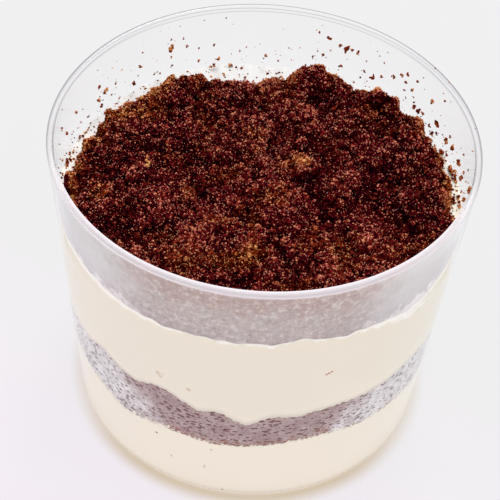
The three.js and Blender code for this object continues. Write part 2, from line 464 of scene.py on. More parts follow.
def clearPlastic():
    # bends light where the creams fill it and is thin and clear above them; on the rim, a milky white in
    # front is a painted highlight for its bright refraction, and two thin grey lines elsewhere are painted
    # shade at its edges
    sheet = Sheet("clearPlastic")
    y, z = sheet.parts(sheet.place())[1:]
    grazing = sheet.add("LayerWeight", values={"Blend": 0.5}, output="Facing")
    empty = sheet.add("BsdfTransparent")
    smoother = plastic["cornerRoughness"] - plastic["roughness"]
    bending = sheet.add("BsdfPrincipled", values={
        "Base Color": plastic["tint"],
        "Roughness": plastic["cornerRoughness"] - smoother * sheet.step(z, *plastic["cornerFade"]),
        "IOR": plastic["refraction"],
        "Transmission Weight": 1.0,
    })
    # light that came in above the creams leaves below them without being caught in the wall
    leaving = sheet.add("NewGeometry", output="Backfacing") * sheet.step(z, *plastic["leavingFade"])
    filled = sheet.cover(leaving, bending, empty)
    shine = sheet.add("BsdfGlossy", values={"Roughness": plastic["sheenRoughness"]})
    sheen = plastic["sheen"] + plastic["sheenAtEdge"] * grazing ** plastic["sheenPower"]
    thin = sheet.cover(sheen, empty, shine)
    wall = sheet.cover(sheet.step(z, *plastic["clearFade"]), filled, thin)

    def aboveRimFoot(low, high):
        return sheet.step(z, rimFoot + low, rimFoot + high)

    # painted shade: thin grey lines at the bead's grazing edges and at its foot, away from the front
    beadEdgeShade = aboveRimFoot(*plastic["beadFade"]) * sheet.step(grazing, *plastic["beadGrazing"])
    foot = aboveRimFoot(-plastic["footLineBelow"], 0) - aboveRimFoot(0, plastic["footLineAbove"])
    inFront = sheet.fall(y, *plastic["rimShineFade"])
    grey = sheet.add("BsdfTransparent", values={"Color": plastic["edgeShadeTint"]})
    wall = sheet.cover((beadEdgeShade + foot) * (1 - inFront), wall, grey)
    # painted highlight: a milky white over the rim in front
    lit = sheet.add("BsdfDiffuse", values={"Color": plastic["rimShineWhite"]})
    through = sheet.add("BsdfTranslucent", values={"Color": plastic["rimShineWhite"]})
    paintedRimShine = sheet.cover(plastic["rimShineThrough"], lit, through)
    onRim = aboveRimFoot(0, plastic["rimShineRise"])
    wall = sheet.cover(onRim * inFront * plastic["rimShine"], wall, paintedRimShine)
    rays = sheet.add("LightPath").socket.node
    shadowRay = Value(sheet, rays.outputs["Is Shadow Ray"])
    diffuseRay = Value(sheet, rays.outputs["Is Diffuse Ray"])
    passing = sheet.add("Math", {"operation": "MAXIMUM"}, (shadowRay, diffuseRay))
    return sheet.finish(sheet.cover(passing, wall, empty))


cupPiece = addPiece("cup_wall", cupMesh(), clearPlastic())
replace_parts(cupPiece, "cup")
print("cup made")


# The creams and the crumbs between them

layers = {
    "lowerCreamTop": 20.9 * mm,
    "middleCrumbTop": 32.6 * mm,
    "upperCreamTop": 56.2 * mm,
    "creamIntoWall": 0.35 * mm,
    "crumbsIntoWall": 0.25 * mm,
    "crumbsUnderCream": 1.2 * mm,
    "creep": 0.5 * mm,
    "creepFrom": 0.965,
    "creepSides": (105, 80),
    "steps": 720,
    "rows": 14,
    # where the rings of points lie on a surface, as shares of its radius
    "rings": [0, 0.3, 0.6, 0.8, 0.88, 0.93, 0.955, 0.968, 0.978, 0.986, 0.992, 0.997, 1],
    "edgeRipple": 0.22 * mm,
    "edgePower": 3,
    "lowerCreamSeed": 11,
    "middleCrumbSeed": 12,
    "upperCreamSeed": 13,
}
# azimuth and width in degrees, and rise in mm, of the swells in each surface's edge
lowerCreamSwells = [
    (-62, 8, 0.6), (-39, 9, -2.3), (-8, 10, -0.6), (22, 14, 1.6), (68, 9, -1.5), (130, 20, 1),
    (-140, 25, -1.2),
]
middleCrumbSwells = [
    (-46, 6, 2.3), (-25, 6, 2.6), (-13, 3.5, -1), (0.5, 5, -3.6), (14, 6, -1.1), (55, 8, 1.3),
    (115, 14, -1.4), (165, 16, 1.2), (-105, 16, -1),
]
upperCreamSwells = [
    (-58, 9, 1), (-26, 12, -0.5), (14, 4.5, 1.4), (49, 8, -1.7), (105, 18, 0.7), (-150, 30, 0.6),
]
fineCounts = [23, 37, 52, 71, 97, 131, 163, 209, 251]


def surface(name, swells, counts):
    mean, seed = layers[name + "Top"], layers[name + "Seed"]

    def heightAt(azimuth, share):
        edge = swellAt(swells, azimuth) + ripple(azimuth, seed, layers["edgeRipple"], counts)
        return mean + edge * share ** layers["edgePower"]
    return heightAt


lowerCreamSurface = surface("lowerCream", lowerCreamSwells, fineCounts)
middleCrumbSurface = surface("middleCrumb", middleCrumbSwells, fineCounts)
upperCreamSurface = surface("upperCream", upperCreamSwells, fineCounts[:4])


def fillingMesh(name, floorAt, topAt, inset):
    # a drum between two surfaces whose side lies just inside the plastic
    rings, rows = layers["rings"], layers["rows"]
    profile = [(share, 0) for share in rings]
    profile += [(1, row / rows) for row in range(1, rows)]
    profile += [(share, 1) for share in reversed(rings)]
    mesh = spunMesh(name, profile, layers["steps"])
    x, y, rise = pointsOf(mesh).T
    share = np.hypot(x, y)
    azimuth = azimuthOf(x, y)
    top = topAt(azimuth, share)
    z = blend(floorAt(azimuth, share), top, rise)
    radius = innerRadiusAt(z) + inset
    setPoints(mesh, np.column_stack((x * radius, y * radius, z)))
    addField(mesh, "depth", (top - z) / mm)
    addField(mesh, "rise", rise)
    return mesh


def roundedFoot(azimuth, share):
    corner = innerCorner + layers["creamIntoWall"]
    low = cup["base"] - layers["creamIntoWall"]
    radius = share * (innerRadiusAt(cup["base"]) + layers["creamIntoWall"])
    past = np.clip(radius - (innerRadiusAt(cup["base"] + innerCorner) - innerCorner), 0, corner)
    return low + corner - np.sqrt(corner ** 2 - past ** 2)


def creepingTop(azimuth, share):
    # cream drawn up a little where it meets the front of the wall
    inFront = smooth(np.abs(azimuth), *layers["creepSides"])
    drawnUp = layers["creep"] * inFront * smooth(share, layers["creepFrom"], 1)
    return upperCreamSurface(azimuth, share) + drawnUp


# each noise has a size, a detail and a roughness, and each bump a strength and a distance, here and below
cream = {
    "low": paint(240, 230, 211),
    "high": paint(230, 222, 203),
    "pale": paint(242, 237, 222),
    "edge": paint(250, 247, 242),
    # painted shade on the top of the cream round the heap, by side
    "backRingShade": paint(197, 196, 195),
    "leftRingShade": paint(223, 218, 210),
    "rightRing": paint(227, 220, 204),
    "fleck": paint(92, 54, 42),
    "rust": paint(168, 98, 44),
    "tan": paint(206, 186, 156),
    "broad": (22 * mm, 2),
    "fine": (1.3 * mm, 4, 0.6),
    "smear": (2.6 * mm, 4, 0.65),
    "upwardWander": 20 * mm,
    "upwardFade": (12 * mm, 44 * mm),
    "paleShare": 0.25,
    # the paler line's depth below the surface, in mm
    "edgeDepth": 0.6,
    "sideEdgeDepth": 1.1,
    "edgeWander": 3.2,
    "edgeSoftness": (-0.4, 0.4),
    "edgeShare": 0.8,
    "sideFade": (15 * mm, 33 * mm),
    "upperLayerFade": (38 * mm, 40 * mm),
    # the ring round the heap, painted shade: a little darker at the left and much darker behind; its fades
    # run from left to right and towards the back
    "ringAcross": (-20 * mm, 20 * mm),
    "ringBehind": (0, 24 * mm),
    "ringRise": (0.998, 1),
    "roughness": 0.42,
    "specular": 0.3,
    "bump": (0.25, 0.15 * mm),
}
# azimuth, height and reach in mm of the small marks on the creams' side, and how strong they are
creamMarks = {
    "fleck": [
        (-27, 17.2, 0.34, 1), (-22, 10.8, 0.26, 0.8), (-22, 10.2, 0.2, 0.7), (-11, 10.9, 0.26, 0.9),
        (-11, 10.2, 0.2, 0.8), (-5, 2.5, 0.32, 1), (-9, 17.8, 0.22, 0.8), (45, 31, 0.26, 0.9),
    ],
    "rust": [(22.1, 45.1, 0.3, 0.9), (22.8, 45.4, 0.4, 1), (23.5, 45.7, 0.34, 1)],
    "tan": [(-25.6, 39.9, 0.6, 0.8), (-24.6, 39, 0.55, 0.7), (-23.9, 40.2, 0.45, 0.6), (-16, 38, 0.6, 0.8)],
}
spotEdge = {"wander": 1.6, "fade": (0.6, 1)}


def wallSpot(sheet, place, mark, intoWall, ragged):
    # 1 at a mark on the inner wall, 0 beyond its uneven edge
    azimuth, height, reach = mark
    centre = (*polar(azimuth, innerRadiusAt(height * mm) + intoWall), height * mm)
    away = sheet.add("VectorMath", {"operation": "DISTANCE"}, (place, centre), output="Value")
    return sheet.fall(away / (reach * mm) + spotEdge["wander"] * (ragged - 0.5), *spotEdge["fade"])


def creamFinish():
    # ivory, a little deeper in the upper layer, which has a paler uneven line where it meets the plastic
    sheet = Sheet("cheesecakeCream")
    place = sheet.place()
    x, y, z = sheet.parts(place)
    broad = sheet.noise(place, *cream["broad"])
    fine = sheet.noise(place, *cream["fine"])
    upward = sheet.step(z + (broad - 0.5) * cream["upwardWander"], *cream["upwardFade"])
    tone = sheet.mix(upward, cream["low"], cream["high"])
    tone = sheet.mix(cream["paleShare"] * fine, tone, cream["pale"])
    smear = sheet.noise(place, *cream["smear"])
    aside = sheet.step(abs(x), *cream["sideFade"])
    reach = cream["edgeDepth"] + cream["sideEdgeDepth"] * aside + cream["edgeWander"] * (smear - 0.5)
    edge = sheet.fall(sheet.attribute("depth") - reach, *cream["edgeSoftness"])
    edge = edge * sheet.step(z, *cream["upperLayerFade"])
    tone = sheet.mix(cream["edgeShare"] * edge, tone, cream["edge"])
    # painted shade: the cream's top round the heap a little darker and greyer at the left, much darker
    # behind
    ringShade = sheet.mix(sheet.step(x, *cream["ringAcross"]), cream["leftRingShade"], cream["rightRing"])
    ringShade = sheet.mix(sheet.step(y, *cream["ringBehind"]), ringShade, cream["backRingShade"])
    tone = sheet.mix(sheet.step(sheet.attribute("rise"), *cream["ringRise"]), tone, ringShade)
    for kind, marks in creamMarks.items():
        for *mark, strength in marks:
            spot = wallSpot(sheet, place, mark, layers["creamIntoWall"], fine)
            tone = sheet.mix(spot * strength, tone, cream[kind])
    return sheet.finishOpaque({
        "Base Color": tone,
        "Roughness": cream["roughness"],
        "Specular IOR Level": cream["specular"],
        "Normal": sheet.bump(fine, *cream["bump"]),
    })


band = {
    "mauve": paint(174, 151, 147),
    "deepMauve": paint(156, 129, 127),
    "silver": paint(206, 201, 200),
    "brightSilver": paint(231, 226, 225),
    "redSpeck": paint(88, 22, 32),
    "greySpeck": paint(80, 50, 53),
    "fleck": paint(206, 190, 192),
    "rust": paint(128, 66, 38),
    "wander": (6 * mm, 4),
    "broad": (3 * mm, 3),
    "jitter": (0.6 * mm, 2),
    "ragged": (0.8 * mm, 3, 0.6),
    "stretch": (1, 1, 1.9),
    # the mauve veil, in degrees from the front
    "mauveHalf": 32,
    "mauveLean": 14,
    "mauveWander": 24,
    "mauveFade": (-8, 8),
    "mauveMottle": (0.35, 0.7),
    "silverMottle": (0.35, 0.65),
    # the dark contacts, in specks and smaller bits
    "uneven": 0.5,
    "speckSize": 1.6 * mm,
    "speckWander": 0.4,
    "speckAside": 0.05,
    "speckEdge": (0.33, 0.36),
    "speckShare": 0.95,
    "bitSize": 0.6 * mm,
    "bitLow": 0.14,
    "bitEdge": (0.28, 0.34),
    "bitShare": 0.7,
    "bitAside": 0.25,
    "lowWander": 0.5,
    "lowShift": 0.1,
    "lowFade": (0.1, 0.3),
    "fleckSize": 0.85 * mm,
    "fleckWander": 0.5,
    "fleckEdge": (0.14, 0.2),
    "fleckShare": 0.7,
    "footWander": 0.5,
    "footFade": (0.08, 0.1),
    "roughness": 0.5,
    "specular": 0.25,
    "bump": (0.3, 0.2 * mm),
}


def pressedCrumbs():
    # crumbs that lie against the plastic: a mauve veil in front, pale at the sides, with dark contacts
    sheet = Sheet("pressedCrumbs")
    place = sheet.place()
    x, y = sheet.parts(place)[:2]
    azimuth = sheet.add("Math", {"operation": "ARCTAN2"}, (x, y * -1)) * (180 / math.pi)
    wander = sheet.noise(place, *band["wander"]) - 0.5
    rise = sheet.attribute("rise")
    beyond = abs(azimuth) - band["mauveHalf"] - band["mauveLean"] * (rise - 0.5)
    side = sheet.step(beyond + band["mauveWander"] * wander, *band["mauveFade"])
    broad = sheet.noise(place, *band["broad"])
    mauve = sheet.mix(sheet.step(broad, *band["mauveMottle"]), band["mauve"], band["deepMauve"])
    pale = sheet.mix(sheet.step(broad, *band["silverMottle"]), band["silver"], band["brightSilver"])
    veil = sheet.mix(side, mauve, pale)
    flat = sheet.stretched(place, band["stretch"])
    jitter = sheet.noise(flat, *band["jitter"])
    uneven = band["uneven"] * (jitter - 0.5)
    spots = sheet.cells(flat, band["speckSize"]) + band["speckWander"] * wander + uneven
    specks = sheet.fall(spots + band["speckAside"] * side, *band["speckEdge"])
    lowEdge = sheet.fall(rise + band["lowWander"] * (wander - band["lowShift"]), *band["lowFade"])
    bits = sheet.cells(flat, band["bitSize"]) + uneven - band["bitLow"] * lowEdge
    thin = sheet.fall(bits, *band["bitEdge"])
    redMarks = sheet.mix(lowEdge, band["redSpeck"], band["rust"])
    marks = sheet.mix(side, redMarks, band["greySpeck"])
    flecks = sheet.cells(flat, band["fleckSize"]) + band["fleckWander"] * (broad - 0.5)
    tone = sheet.mix(sheet.fall(flecks, *band["fleckEdge"]) * band["fleckShare"], veil, band["fleck"])
    tone = sheet.mix(specks * band["speckShare"], tone, marks)
    tone = sheet.mix(thin * (band["bitShare"] - band["bitAside"] * side), tone, marks)
    # crumbs that cream has got over at the band's ragged foot
    ragged = sheet.noise(flat, *band["ragged"]) - 0.5
    covered = sheet.fall(rise + band["footWander"] * ragged, *band["footFade"])
    return sheet.finishOpaque({
        "Base Color": sheet.mix(covered, tone, cream["low"]),
        "Roughness": band["roughness"],
        "Specular IOR Level": band["specular"],
        "Normal": sheet.bump(jitter, *band["bump"]),
    })


def makeLayers():
    ivory = creamFinish()
    under = layers["crumbsUnderCream"]
    intoWall = layers["creamIntoWall"]
    lower = fillingMesh("lower_cream_fill", roundedFoot, lowerCreamSurface, intoWall)
    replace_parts(addPiece("lower_cream_fill", lower, ivory), "lower_cream")
    middle = fillingMesh(
        "middle_crumb_layer",
        lambda azimuth, share: lowerCreamSurface(azimuth, share) - under,
        lambda azimuth, share: middleCrumbSurface(azimuth, share) + under,
        layers["crumbsIntoWall"],
    )
    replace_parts(addPiece("middle_crumb_layer", middle, pressedCrumbs()), "middle_crumbs")
    upper = fillingMesh("upper_cream_fill", middleCrumbSurface, creepingTop, intoWall)
    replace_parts(addPiece("upper_cream_fill", upper, ivory), "upper_cream")


makeLayers()
print("creams and the crumbs between them made")


# The pale dusty film between the crumbs and the front of the wall, from the line of cream up to the rim

film = {
    "foot": 53 * mm,
    "head": 71.2 * mm,
    "intoWall": 0.33 * mm,
    "thickness": 0.05 * mm,
    "grey": paint(188, 178, 174),
    "rosy": paint(187, 160, 155),
    "pale": paint(216, 208, 203),
    "dim": paint(162, 147, 145),
    "silver": paint(216, 213, 213),
    "white": paint(234, 235, 236),
    "smear": paint(250, 245, 244),
    "scratch": paint(150, 116, 100),
    "cover": 0.95,
    "reach": 89,
    "steps": 128,
    "broad": (3.4 * mm, 3, 0.6),
    "mottle": (1.25 * mm, 4, 0.7),
    "grains": (0.42 * mm, 2, 0.6),
    "daub": (2.2 * mm, 3, 0.5),
    "upperWander": 8 * mm,
    "upperFade": (64 * mm, 69 * mm),
    "rosyAbove": 0.7,
    "rosyPatches": 0.3,
    "rosyMottle": (0.5, 0.7),
    "sideWander": 16 * mm,
    "sideFade": (18 * mm, 33 * mm),
    "evenAside": 0.75,
    "paleMottle": (0.5, 0.64),
    "paleShare": 0.75,
    "dimMottle": (0.34, 0.48),
    "dimShare": 0.6,
    "grainMottle": (0.5, 0.75),
    "grainShare": 0.45,
    "farWander": 8 * mm,
    "farFade": (-27 * mm, -13 * mm),
    "smearTop": 57.6 * mm,
    "smearWander": 9 * mm,
    "smearSoftness": (-0.5 * mm, 0.5 * mm),
    "smearShare": 0.9,
    "scratchShare": 0.6,
    "endWander": 9 * mm,
    "endFade": (-14 * mm, -3 * mm),
    "roughness": 0.9,
}
# azimuth, height and reach in mm of the spots along a faint scratch
filmScratch = [(-37, 57.4, 0.22), (-36.6, 57.1, 0.26), (-36.2, 56.8, 0.22)]


def filmMesh():
    inner, outer = film["intoWall"] - film["thickness"], film["intoWall"]
    foot, head = film["foot"], film["head"]
    profile = [
        (innerRadiusAt(foot) + inner, foot),
        (innerRadiusAt(foot) + outer, foot),
        (innerRadiusAt(head) + outer, head),
        (innerRadiusAt(head) + inner, head),
    ]
    return spunMesh("dusty_film", profile, film["steps"], film["reach"])


def dustyFilm():
    # mottled and rosy in front, silvery and then white round the sides, with smears of cream at its foot
    sheet = Sheet("dustyFilm")
    place = sheet.place()
    x, y, z = sheet.parts(place)
    broad = sheet.noise(place, *film["broad"])
    mottle = sheet.noise(place, *film["mottle"])
    grains = sheet.noise(place, *film["grains"])
    upper = sheet.step(z + film["upperWander"] * (broad - 0.5), *film["upperFade"])
    rosy = upper * film["rosyAbove"] + film["rosyPatches"] * sheet.step(broad, *film["rosyMottle"])
    tone = sheet.mix(rosy, film["grey"], film["rosy"])
    side = sheet.step(abs(x) + film["sideWander"] * (broad - 0.5), *film["sideFade"])
    grained = 1 - film["evenAside"] * side
    pale = sheet.step(mottle, *film["paleMottle"]) * film["paleShare"]
    dim = sheet.fall(mottle, *film["dimMottle"]) * film["dimShare"]
    grain = sheet.step(grains, *film["grainMottle"]) * film["grainShare"]
    for share, colour in ((pale, "pale"), (dim, "dim"), (grain, "pale")):
        tone = sheet.mix(share * grained, tone, film[colour])
    tone = sheet.mix(side, tone, film["silver"])
    farSide = sheet.step(y + film["farWander"] * (broad - 0.5), *film["farFade"])
    tone = sheet.mix(farSide, tone, film["white"])
    daub = film["smearWander"] * (sheet.noise(place, *film["daub"]) - 0.5)
    smeared = sheet.fall(z - film["smearTop"] - daub, *film["smearSoftness"])
    tone = sheet.mix(smeared * side * film["smearShare"], tone, film["smear"])
    for mark in filmScratch:
        spot = wallSpot(sheet, place, mark, film["intoWall"], mottle)
        tone = sheet.mix(spot * film["scratchShare"], tone, film["scratch"])
    values = {"Base Color": tone, "Roughness": film["roughness"], "Specular IOR Level": 0.0}
    dust = sheet.add("BsdfPrincipled", values=values)
    ended = sheet.step(y + film["endWander"] * (broad + mottle - 1), *film["endFade"])
    empty = sheet.add("BsdfTransparent")
    return sheet.finish(sheet.cover(film["cover"] * (1 - ended), empty, dust))


addPiece("dusty_film", filmMesh(), dustyFilm())
print("film on the wall made")


# The heap of crumbs: its height over a fine square raster, then a mesh and loose crumbs on it

heap = {
    "top": 63 * mm,
    "edgeHeight": 2.8 * mm,
    "shoulder": 7 * mm,
    "openFade": (0.3 * mm, 1.6 * mm),
    "outsideFade": (-0.3 * mm, 1.1 * mm),
    "outsideSink": 0.8 * mm,
    "gap": 0.3 * mm,
    "foot": 53.5 * mm,
    "skirtRows": 3,
    "skirtReach": 1.2 * mm,
    "outlineWander": 0.7 * mm,
    "outlineSeed": 21,
    "outlineCounts": [7, 11, 17, 26, 41, 63],
    "rasterStep": 0.15 * mm,
    "rasterHalf": 45 * mm,
    "gridSegments": 300,
    "latticeCells": 96,
    "latticeShift": 48.3,
    "spotSquash": 1.3,
    # what is dug out before the lumps go on, depths in mm
    "coreDepth": 0.9,
    "hollowShare": 0.6,
    "dipHills": [(1, 4.5 * mm, 31), (0.5, 2.2 * mm, 32)],
    "dipFrom": 0.7,
    "dipDepth": 0.9,
    "seamHills": [(1, 2.8 * mm, 33)],
    "seamWidth": 0.09,
    "seamDepth": 0.8,
    "lumpSizePower": 1.8,
    "lumpInset": 0.6,
    # painted light and shade: the reach and share of the relief that makes crumbs paler where the heap
    # stands out and darker where it lies low
    "reliefShadeReach": 0.9 * mm,
    "reliefShadeShare": 0.5,
    "seed": 5,
}
# how many lumps, their radius in mm from and to, their seat in radii from and to, and their flatness
lumpKinds = [
    (420, (1.1, 3.1), (0.1, 0.6), 0.75),
    (2600, (0.5, 1.2), (0.1, 0.8), 0.9),
    (15000, (0.2, 0.42), (0.2, 0.7), 1),
]
# azimuth and width in degrees, and depth in mm, of where the heap's edge stands back from the wall
heapSetbacks = [
    (-170, 27, 8.2), (-115, 36, 3.5), (-83, 7, 1), (177, 10, 2), (154, 12, 4.2), (118, 30, 1.8),
    (108, 6, 1.3), (87, 8, 1.4),
]
# height in mm, turns in radians for each mm along x and y, and phase
undulations = [(0.45, 0.47, 0.21, 1), (0.35, -0.39, 0.31, 2.4)]
# azimuth, radius, spread, size, top above the cream and count, lengths in mm
clumps = [
    (163, 31.5, 3.6, 2.6, 10, 9),
    (153, 33, 2.4, 2, 7.6, 5),
    (137, 36, 3, 2.1, 7.4, 6),
    (124, 38, 1.6, 1.5, 6, 3),
    (-149, 33, 2.2, 1.8, 6.6, 4),
    (-82, 40.5, 1.4, 1.4, 4.6, 3),
    (106, 9, 1, 1.9, 8.4, 3),
]
clumpFoot = 6  # how far above the cream the tops of a clump's lowest lumps are, in mm
# x, y, reach and depth in mm of the hollows between the clods
hollows = [
    (-23, 8, 4, 1.6), (-15, 19, 5, 1.2), (-13, 3, 5, 1.6), (9, 26, 4, 1), (13, 9, 4, 1.6),
    (12, -3, 4, 1.8), (29, -9, 4, 2.4), (33, -14, 4, 2.2), (28, 0, 4, 1.8), (24, -5, 3, 1.4),
    (-4, -13, 3, 1.8), (-20, -19, 3.5, 1.4), (-31, -19, 4, 1.2), (2, -28, 7, 1.6), (24, 24, 4, 1.2),
    (18, 8, 3, 1.2), (-21, 16, 3, 1.4), (-35, -3, 3.5, 1.2),
]
# x, y, reach in mm and strength of the most golden spots
goldenSpots = [
    (8.8, 2.2, 3.2, 1), (-24, 18, 4, 0.6), (-10, -15, 2.5, 0.7), (-6, -16, 2.5, 0.5), (1, -23, 2.5, 0.7),
    (21, -24, 3.5, 0.7), (-14, -28, 3.5, 0.6), (-4, -27, 3, 0.5), (9, -32, 3, 0.6), (-32, 16, 4, 0.9),
    (-36, 7, 3, 0.7), (-26, 24, 5, 0.9), (24, 29, 3, 0.6), (-33, -11, 4, 0.7),
]
# x, y, reach in mm and strength of the paler stretches
mounds = [
    (-25, 15, 4, 0.9), (-24, 0, 1.6, 0.6), (8, 3, 3, 1), (-10, -16, 6, 0.7), (-1, -23, 5, 0.7),
    (16, -13, 5, 0.5), (6, 21, 4, 0.3), (-1, 14, 5, 0.2), (-13, -23, 5, 0.6), (15, -27, 5, 0.8),
    (27, -20, 5, 0.6), (3, -7, 5, 0.3), (-33, 10, 4, 0.5), (24, 31, 4, 0.6), (-26, 25, 4, 0.4),
]
# what makes the crumbs paler, and how golden they are against plum; a hill has a share, a size and a seed;
# darker in the hollows is painted shade, and paler and more golden along the open edge is painted rim light
paler = {
    "hills": [(0.5, 5 * mm, 51), (0.5, 2.2 * mm, 52), (0.5, mm, 55)],
    "hillsLess": 0.21,
    "mounds": 0.3,
    "hollowShade": 0.22,
    "edge": 0.55,
    "edgeLightReach": 2 * mm,
    "front": 0.03,
    "goldenSpots": 0.15,
    "backLess": 0.125,
    "backLean": 0.3,
    "backFade": (-8 * mm, 20 * mm),
    "sideLess": 0.25,
}
golden = {
    "hills": [(0.7, 6 * mm, 53), (0.3, 3 * mm, 54)],
    "contrast": 1.6,
    "mounds": 0.3,
    "edgeLightReach": 3.5 * mm,
    "front": 0.06,
    "sideLess": 0.3,
}
# how the heap's front, sides and open edge fade into the rest
zones = {
    "front": (10 * mm, 24 * mm),
    "left": (15 * mm, 31 * mm),
    "leftBack": (15 * mm, 3 * mm),
    "leftFrontLess": 0.6,
    "right": (18 * mm, 34 * mm),
    "rightShare": 0.32,
    "belowEdge": 0.8 * mm,
}


def openShareAt(azimuth):
    # 1 where the heap's edge stands back from the wall, 0 where it touches it
    return smooth(swellAt(heapSetbacks, azimuth), *heap["openFade"])


def heapRadiusAt(azimuth):
    wander = ripple(azimuth, heap["outlineSeed"], heap["outlineWander"], heap["outlineCounts"])
    inside = innerRadiusAt(layers["upperCreamTop"]) - heap["gap"] - swellAt(heapSetbacks, azimuth)
    return inside + wander * openShareAt(azimuth)


def heapShape(x, y):
    azimuth = azimuthOf(x, y)
    radius = np.hypot(x, y)
    openShare = openShareAt(azimuth)
    edgeTop = blend(heap["top"], layers["upperCreamTop"] + heap["edgeHeight"], openShare)
    inwards = (heapRadiusAt(azimuth) - radius) / heap["shoulder"]
    z = blend(edgeTop, heap["top"], np.sin(np.clip(inwards, 0, 1) * math.pi / 2))
    for height, alongX, alongY, phase in undulations:
        z = z + height * mm * np.sin((alongX * x + alongY * y) / mm + phase)
    outside = smooth(-inwards * heap["shoulder"], *heap["outsideFade"]) * openShare
    return blend(z, layers["upperCreamTop"] - heap["outsideSink"], outside)


def spotsAt(spots, x, y):
    total = np.zeros(np.shape(x))
    for spotX, spotY, reach, strength in spots:
        away = (x - spotX * mm) ** 2 + ((y - spotY * mm) * heap["spotSquash"]) ** 2
        total = total + strength * np.exp(-(away / (reach * mm) ** 2))
    return total


def softNoise(x, y, size, seed):
    # smooth random hills of a given size, from 0 to 1
    cells = heap["latticeCells"]
    lattice = np.random.default_rng(seed).random((cells, cells))
    u, v = x / size + heap["latticeShift"], y / size + heap["latticeShift"]
    i, j = np.floor(u).astype(int), np.floor(v).astype(int)
    fu, fv = smooth(u - i, 0, 1), smooth(v - j, 0, 1)
    i, j = i % (cells - 1), j % (cells - 1)
    low = blend(lattice[i, j], lattice[i + 1, j], fu)
    high = blend(lattice[i, j + 1], lattice[i + 1, j + 1], fu)
    return blend(low, high, fv)


def hillsAt(hills, x, y):
    return sum(share * softNoise(x, y, size, seed) for share, size, seed in hills)


def edgeNearness(x, y, reach):
    # 1 at the top of the heap's open edge, 0 from a given distance inwards and down its steep side
    azimuth = azimuthOf(x, y)
    past = np.hypot(x, y) - heapRadiusAt(azimuth)
    return smooth(past, -reach, 0) * smooth(past, zones["belowEdge"], 0) * openShareAt(azimuth)


def frontward(y):
    return smooth(-y, *zones["front"])


def sideward(x, y):
    # most at the left, short of the back, and less again towards the front
    left = smooth(-x, *zones["left"]) * smooth(y, *zones["leftBack"])
    left = left * (1 - zones["leftFrontLess"] * frontward(y))
    return left + zones["rightShare"] * smooth(x, *zones["right"])


def paleness(x, y):
    # how pale the crumbs are about a place, 0.5 on average
    # painted shade: darker in the hollows; painted light: paler along the heap's open edge
    lifted = paler["mounds"] * spotsAt(mounds, x, y) - paler["hollowShade"] * spotsAt(hollows, x, y)
    lifted = lifted + paler["edge"] * edgeNearness(x, y, paler["edgeLightReach"]) + paler["front"] * frontward(y)
    lifted = lifted + paler["goldenSpots"] * spotsAt(goldenSpots, x, y)
    further = smooth(y + paler["backLean"] * np.abs(x), *paler["backFade"])
    near = hillsAt(paler["hills"], x, y) - paler["hillsLess"] + lifted
    return near - paler["backLess"] * further - paler["sideLess"] * sideward(x, y)


def warmth(x, y):
    # how golden they are, from 0 for plum to 1
    spots = golden["mounds"] * spotsAt(mounds, x, y) + spotsAt(goldenSpots, x, y)
    # painted light: more golden along the heap's open edge
    spots = spots + edgeNearness(x, y, golden["edgeLightReach"])
    across = golden["front"] * frontward(y) - golden["sideLess"] * sideward(x, y)
    drift = golden["contrast"] * (hillsAt(golden["hills"], x, y) - 0.5)
    return np.clip(drift + across + spots, 0, 1)


class Raster:
    def __init__(self, step, half):
        self.step = step
        self.half = half
        self.count = int(2 * half / step) + 1
        self.last = self.count - 1.001  # just short of the last row
        line = np.linspace(-half, half, self.count)
        self.x, self.y = np.meshgrid(line, line, indexing="ij")
        self.z = heapShape(self.x, self.y)

    def at(self, x, y, field=None):
        field = self.z if field is None else field
        i = np.clip((x + self.half) / self.step, 0, self.last)
        j = np.clip((y + self.half) / self.step, 0, self.last)
        i0, j0 = i.astype(int), j.astype(int)
        fi, fj = i - i0, j - j0
        low = blend(field[i0, j0], field[i0 + 1, j0], fi)
        high = blend(field[i0, j0 + 1], field[i0 + 1, j0 + 1], fi)
        return blend(low, high, fj)

    def press(self, x, y, z, radius, flatness):
        # raises the surface to a rounded lump centred at x, y, z
        reach = int(radius / self.step) + 1
        i = int(round((x + self.half) / self.step))
        j = int(round((y + self.half) / self.step))
        rows = slice(max(i - reach, 0), i + reach + 1)
        columns = slice(max(j - reach, 0), j + reach + 1)
        away = (self.x[rows, columns] - x) ** 2 + (self.y[rows, columns] - y) ** 2
        cap = z + flatness * np.sqrt(np.maximum(radius ** 2 - away, 0))
        patch = self.z[rows, columns]
        np.copyto(patch, np.maximum(patch, cap), where=away < radius ** 2)

    def strew(self, draw, count, sizes, seat, flatness):
        # lumps of a kind laid at random over the heap, each seated on what is under it
        azimuth = draw.uniform(-180, 180, count)
        radius = mm * blend(*sizes, draw.random(count) ** heap["lumpSizePower"])
        room = heapRadiusAt(azimuth) - heap["lumpInset"] * radius
        x, y = polar(azimuth, room * np.sqrt(draw.random(count)))
        rise = draw.uniform(*seat, count) * radius
        for one in np.column_stack((x, y, self.at(x, y) + rise - flatness * radius, radius)):
            self.press(*one, flatness)

    def findReliefShade(self, reach):
        # how far each place stands out of its surroundings, or lies below them; half the reach counts as 1.
        # It serves only as painted light and shade: crumbs paler where the heap stands out, darker where it
        # lies low
        level = self.z
        cells = int(reach / self.step)
        for _ in range(2):
            for axis in (0, 1):
                moved = [np.roll(level, shift, axis) for shift in range(-cells, cells + 1)]
                level = sum(moved) / len(moved)
        self.reliefShade = np.clip((self.z - level) / (reach / 2), -1, 1)


